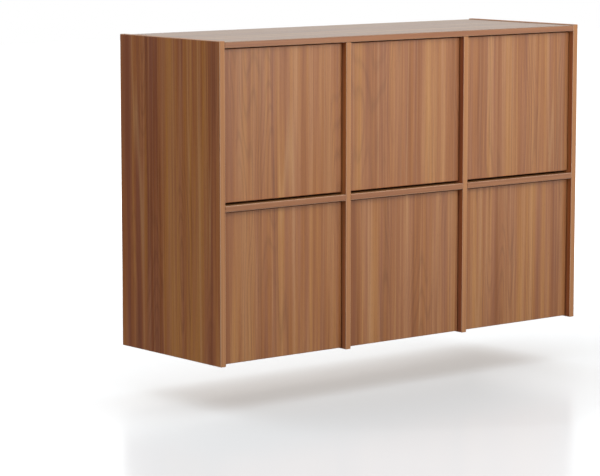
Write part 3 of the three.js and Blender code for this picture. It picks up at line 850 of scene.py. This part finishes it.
@dataclass
class PushLatch:
    """A push latch, from the upright's face and the door's back: X away from the hinge side, Y to the back.

    Profiles are rows of radius and height. The foot is given as half sizes and corner radius, and the screw
    as its head's radius and height.
    """

    axis: float = -8.0
    barrel_radius: float = 8.0
    front: float = 6.0
    length: float = 60.0
    bore: float = 3.8
    bore_depth: float = 52.0
    bore_ease: float = 0.6
    end_ease: float = 0.7
    rib_places: tuple[float, ...] = (4.0, 6.4, 8.8)
    rib_depth: float = 0.45
    rib_slope: float = 0.3
    rib_length: float = 1.2
    foot_thickness: float = 2.5
    foot: Three = (19.0, 15.0, 4.0)
    screw: Two = (3.3, 1.5)
    screw_reach: float = 14.0
    plunger_gap: float = 0.3
    plunger_radius: float = 3.5
    plunger_length: float = 46.0
    plunger_ease: float = 0.8
    head_radius: float = 5.0
    head_length: float = 2.5
    head_front_ease: float = 0.6
    head_back_ease: float = 0.3
    pocket_profile: tuple = ((0.0, 0.5), (2.5, 0.5), (2.8, 0.0))
    magnet_profile: tuple = ((0.0, 0.15), (2.2, 0.15), (2.4, 0.35), (2.4, 1.2), (0.0, 1.2))
    strike_profile: tuple = ((0.0, -1.0), (7.0, -1.0), (7.0, 0.03), (6.7, 0.15), (1.4, 0.15), (0.9, -0.4),
                             (0.0, -0.5))

    def body(self) -> Shape:
        """The barrel, round towards the room and square towards the upright, with its bore, ribs and foot.

        Returns:
            The latch body's surface.
        """
        steps = 96
        turn = turn_of(steps)
        square = self.barrel_radius / np.maximum(np.abs(np.cos(turn)), np.abs(np.sin(turn)))
        reach = np.where(np.cos(turn) > 0, square, self.barrel_radius)
        ease, bore_end, end = self.end_ease, self.bore_depth, self.length
        inset, waist = ease * COARSE_EASE, reach - self.rib_depth
        rows: list = [(0.0, bore_end), (self.bore, bore_end), (self.bore, self.bore_ease),
                      (self.bore + self.bore_ease, 0.0), (reach - ease, 0.0), (reach - inset, inset),
                      (reach, ease)]
        for place in self.rib_places:
            rows += [(reach, place), (waist, place + self.rib_slope),
                     (waist, place + self.rib_length - self.rib_slope), (reach, place + self.rib_length)]
        rows += [(reach, end - ease), (reach - inset, end - inset), (reach - ease, end), (0.0, end)]
        barrel = lathe(rows, steps).aimed(Aim.BACK, (self.axis, self.front, 0))
        foot = prism(rounded(*self.foot), 0, self.foot_thickness)
        return barrel + foot.aimed(Aim.LEFT, (0, self.front + self.length / 2, 0))

    def plunger(self) -> Shape:
        """The sliding plunger with its crowned head, turned about its own line."""
        head, shank, long = self.head_radius, self.plunger_radius, self.plunger_length
        front, back, ease = self.head_front_ease, self.head_back_ease, self.plunger_ease
        rows: list = [*self.pocket_profile, *eased(head - front, front, front, -90, 0)]
        rows += [(head, self.head_length - back), (head - back, self.head_length), (shank, self.head_length),
                 (shank, long - ease), (shank - ease, long), (0.0, long)]
        return lathe(rows).aimed(Aim.BACK, (self.axis, self.plunger_gap, 0))

    def magnet(self) -> Shape:
        """The small steel-faced magnet in the plunger's head."""
        return lathe(self.magnet_profile).aimed(Aim.BACK, (self.axis, self.plunger_gap, 0))

    def strike(self) -> Shape:
        """The round steel strike let into the door's back, where the plunger meets it."""
        return lathe(self.strike_profile).aimed(Aim.BACK, (self.axis, 0, 0))

    def screws(self) -> Shape:
        """Two pan heads on the foot, above and below the barrel."""
        return pair(screw_head(*self.screw), Aim.LEFT, (-self.foot_thickness, self.front + self.length / 2),
                    self.screw_reach)


@dataclass(frozen=True)
class Fitting:
    """A kind of fitting, drawn for a door with its hinges at the left.

    In its texts {0} stands for the door's place in the unit and {1} for the hinge's end.
    """

    name: str
    shape: Shape
    slot: Slot
    body: str
    stands_for: str = ""
    edge_mm: float = 0.0


@dataclass
class DoorFittings:
    """Hinges, latch and strike of every door.

    Each column has a name, the shift of its middle, and whether its fittings are mirrored; each row has a
    name and the height of its middle.
    """

    finishes: dict[Slot, Material]
    columns: tuple = (("left", -386.0, False), ("centre", 0.0, False), ("right", 386.0, True))
    rows: tuple = (("upper", -140.75), ("lower", -525.75))
    cell_half_width: float = 185.0
    pin_from_middle: float = 164.5
    pin_back: float = -378.0
    door_back: float = -368.0
    latch_seat: float = 0.2
    hinge_from_middle: float = 91.25

    def place(self, fitting: Fitting, column: tuple, offset: Three, *words: str) -> None:
        """Places a fitting in its column.

        Args:
            fitting: the kind of fitting.
            column: the column's name, shift and whether to mirror.
            offset: where its origin lies from the column's middle, in the view that it is drawn in.
            words: what its texts leave open.
        """
        _, shift, mirror = column
        moved = fitting.shape.aimed(Aim.UP, offset)
        moved = moved.mirrored() if mirror else moved
        texts = (fitting.name, fitting.body, fitting.stands_for)
        name, body, stands_for = (text.format(*words) for text in texts)
        shown(name, moved.aimed(Aim.UP, (shift, 0, 0)), self.finishes, fitting.slot, body, stands_for,
              fitting.edge_mm)

    def build(self) -> None:
        """Makes every fitting of the six doors."""
        hinge, latch = CupHinge(), PushLatch()
        hinge_pieces = (
            Fitting("cup_{0}_{1}", hinge.cup(), Slot.NICKEL, "{0}_door", "{0}_hinge_cup_{1}"),
            Fitting("arm_{0}_{1}", hinge.arm(), Slot.NICKEL, "root", "{0}_hinge_arm_{1}", hinge.arm_edge_mm),
            Fitting("screws_cup_{0}_{1}", hinge.cup_screws(), Slot.ZINC, "{0}_door"),
            Fitting("screws_arm_{0}_{1}", hinge.arm_screws(), Slot.ZINC, "root"))
        latch_pieces = (
            Fitting("latch_{0}", latch.body(), Slot.GREY, "root", "{0}_latch_body"),
            Fitting("screws_latch_{0}", latch.screws(), Slot.ZINC, "root"),
            Fitting("plunger_{0}", latch.plunger(), Slot.DARK, "{0}_plunger", "{0}_latch_plunger"),
            Fitting("magnet_{0}", latch.magnet(), Slot.NICKEL, "{0}_plunger"),
            Fitting("strike_{0}", latch.strike(), Slot.ZINC, "{0}_door"))
        for column in self.columns:
            for row, middle in self.rows:
                label = f"{row}_{column[0]}"
                for end, sign in (("top", 1), ("bottom", -1)):
                    pin = (-self.pin_from_middle, self.pin_back, middle + sign * self.hinge_from_middle)
                    for fitting in hinge_pieces:
                        self.place(fitting, column, pin, label, end)
                seat = (self.cell_half_width - self.latch_seat, self.door_back, middle)
                for fitting in latch_pieces:
                    self.place(fitting, column, seat, label)


@dataclass
class Studio:
    """Plain white floor, soft light and the camera at the photograph's angle.

    Sizes and places are in metres. What the camera sees is brighter than what the floor and world give the
    unit, so each has a second value for that. A lamp is a name, a place, a side length and a power in watts.
    """

    floor_drop: float = 0.118
    floor_half_size: float = 12.0
    floor_white: float = 0.16
    floor_given: float = 0.05
    # Painted bounce: warm mirror and glow tints warm the floor's shadow; the cool floor tint keeps the lit
    # floor white
    floor_tint: tuple = (0.9, 1.0, 1.08, 1.0)
    mirror_given: float = 0.15
    mirror_painted_bounce_tint: tuple = (1.0, 0.965, 0.935, 1.0)
    mirror_share: float = 0.24
    mirror_roughness: float = 0.2
    glow_near: float = 0.29
    painted_bounce_tint: tuple = (1.13, 1.0, 0.91, 1.0)
    fade_from_y: float = -0.35
    fade_span: Two = (1.1, 2.4)
    # Where the floor's painted reflection glow fades out along Y
    painted_reflection_span: Two = (-0.5, 1.5)
    world_given: float = 0.32
    lamps: tuple = (("key_lamp", (0.15, -1.7, 0.5), 1.2, 10.2), ("right_lamp", (2.6, -2.6, 1.2), 4.0, 33.4),
                    ("left_lamp", (-3.2, -1.2, 1.1), 3.6, 27.5), ("floor_lamp", (0.0, 0.3, 1.8), 6.5, 800.0))
    lamp_target: Three = (0.0, -0.2, -0.35)
    azimuth: float = -39.175
    elevation: float = 7.71
    distance: float = 6.5707
    lens: float = 157.47
    sensor_width: float = 36.0
    far_limit: float = 100.0
    target: Three = (-0.183, -0.2, -0.4562)

    def floor(self) -> Object:
        """A white floor that takes shadows and mirrors faintly; it shows brighter than it lights the unit.

        Returns:
            The floor.
        """
        size = self.floor_half_size
        level = cad_box[0].z - self.floor_drop
        corners = np.array([(-1, -1, 0), (1, -1, 0), (1, 1, 0), (-1, 1, 0)]) * size + (0, 0, level)
        mesh = bpy.data.meshes.new("floor")
        mesh.from_pydata(corners.tolist(), [], [(0, 1, 2, 3)])
        floor = bpy.data.objects.new("floor", mesh)
        bpy.context.scene.collection.objects.link(floor)
        material, tree, _ = new_material("white_studio_floor")
        path = add_node(tree, "LightPath")
        to_camera = path.outputs["Is Camera Ray"]
        white, mirrored = (add_node(tree, "MapRange", (to_camera, 0.0, 1.0, given, seen)).outputs[0]
                           for given, seen in ((self.floor_given, self.floor_white),
                                               (self.mirror_given, 1.0)))
        # The mirror's warm tint is painted bounce light in the floor's shadow
        cool, mirror_bounce_colour = (add_node(tree, "Mix", {SHARE: 1.0, FIRST: tint, SECOND: grey}, data_type="RGBA",
                               blend_type="MULTIPLY").outputs[MIXED]
                      for tint, grey in ((self.floor_tint, white), (self.mirror_painted_bounce_tint, mirrored)))
        matt = add_node(tree, "BsdfDiffuse", {"Color": cool})
        gloss = add_node(tree, "BsdfGlossy", {"Color": mirror_bounce_colour, "Roughness": self.mirror_roughness})
        mixed = add_node(tree, "MixShader", (self.mirror_share, matt.outputs[0], gloss.outputs[0]))
        # Away from the unit the floor runs into the white surroundings
        place = add_node(tree, "TexCoord").outputs["Object"]
        away = add_node(tree, "VectorMath", (place, (0.0, self.fade_from_y, level)), operation="DISTANCE")
        fade = add_node(tree, "MapRange", (away.outputs["Value"], *self.fade_span, self.glow_near, 1.0),
                        interpolation_type="SMOOTHSTEP")
        # Painted reflection: in the unit's sheen only the front of the floor glows, as if lit by the lamps
        depth = add_node(tree, "SeparateXYZ", (place,)).outputs["Y"]
        front = add_node(tree, "MapRange", (depth, *self.painted_reflection_span, 1.0, 0.0),
                         interpolation_type="SMOOTHSTEP")
        sheen = add_node(tree, "Math", (path.outputs["Is Glossy Ray"], front.outputs[0]),
                         operation="MULTIPLY")
        seen = add_node(tree, "Math", (to_camera, sheen.outputs[0]), operation="MAXIMUM")
        strength = add_node(tree, "Math", (seen.outputs[0], fade.outputs[0]), operation="MULTIPLY")
        # Painted bounce: near the unit the glow is tinted warm, fading to white away from it
        painted_bounce_glow = add_node(tree, "Mix", {SHARE: fade.outputs[0], FIRST: self.painted_bounce_tint,
                                             SECOND: (1, 1, 1, 1)}, data_type="RGBA")
        glow = add_node(tree, "Emission", (painted_bounce_glow.outputs[MIXED], strength.outputs[0]))
        whole = add_node(tree, "AddShader", (mixed.outputs[0], glow.outputs[0]))
        tree.links.new(whole.outputs[0], tree.nodes["Material Output"].inputs["Surface"])
        mesh.materials.append(material)
        return floor

    def world(self) -> None:
        """Even white surroundings, pure white where they are seen or mirrored."""
        world = bpy.data.worlds.new("soft_white_room")
        bpy.context.scene.world = world
        world.use_nodes = True
        tree = world.node_tree
        background = tree.nodes["Background"]
        path = add_node(tree, "LightPath")
        seen = path.outputs["Is Camera Ray"]
        for ray in ("Is Glossy Ray", "Is Transmission Ray"):
            seen = add_node(tree, "Math", (seen, path.outputs[ray]), operation="MAXIMUM").outputs[0]
        strength = add_node(tree, "MapRange", (seen, 0.0, 1.0, self.world_given, 1.0))
        background.inputs["Color"].default_value = (1, 1, 1, 1)
        tree.links.new(strength.outputs[0], background.inputs["Strength"])

    def lamp(self, name: str, place: Three, size: float, power: float) -> Object:
        """A square area lamp that faces the unit's middle.

        Args:
            name: the lamp's name.
            place: where it stands.
            size: its side length.
            power: its power in watts.

        Returns:
            The lamp.
        """
        light = bpy.data.lights.new(name, "AREA")
        light.size = size
        light.energy = power
        lamp = bpy.data.objects.new(name, light)
        bpy.context.scene.collection.objects.link(lamp)
        lamp.location = place
        lamp.visible_camera = False
        lamp.rotation_euler = (Vector(self.lamp_target) - lamp.location).to_track_quat("-Z", "Y").to_euler()
        return lamp

    def camera(self) -> None:
        """The camera, on the line that the photograph's vanishing points give."""
        data = bpy.data.cameras.new("camera")
        data.lens = self.lens
        data.sensor_width = self.sensor_width
        data.clip_end = self.far_limit
        camera = bpy.data.objects.new("camera", data)
        bpy.context.scene.collection.objects.link(camera)
        turn, lift = math.radians(self.azimuth), math.radians(self.elevation)
        back = Vector((math.sin(turn) * math.cos(lift), -math.cos(turn) * math.cos(lift), math.sin(lift)))
        camera.location = Vector(self.target) + back * self.distance
        camera.rotation_euler = (-back).to_track_quat("-Z", "Y").to_euler()
        bpy.context.scene.camera = camera

    def build(self) -> None:
        """Sets up the whole studio."""
        floor = self.floor()
        self.world()
        lamps = [self.lamp(*row) for row in self.lamps]
        floor_only = bpy.data.collections.new("floor_only")
        floor_only.objects.link(floor)
        lamps[-1].light_linking.receiver_collection = floor_only
        self.camera()


def main() -> None:
    """Builds the unit's looks and the studio in order."""
    logging.basicConfig(level=logging.INFO, format="%(name)s: %(message)s")
    bpy.context.scene.view_settings.view_transform = "Standard"
    finishes = Finishes.mixed()
    Carcass(finishes).build()
    DoorFittings(finishes.fittings).build()
    Studio().build()


if __name__ == "__main__":
    main()
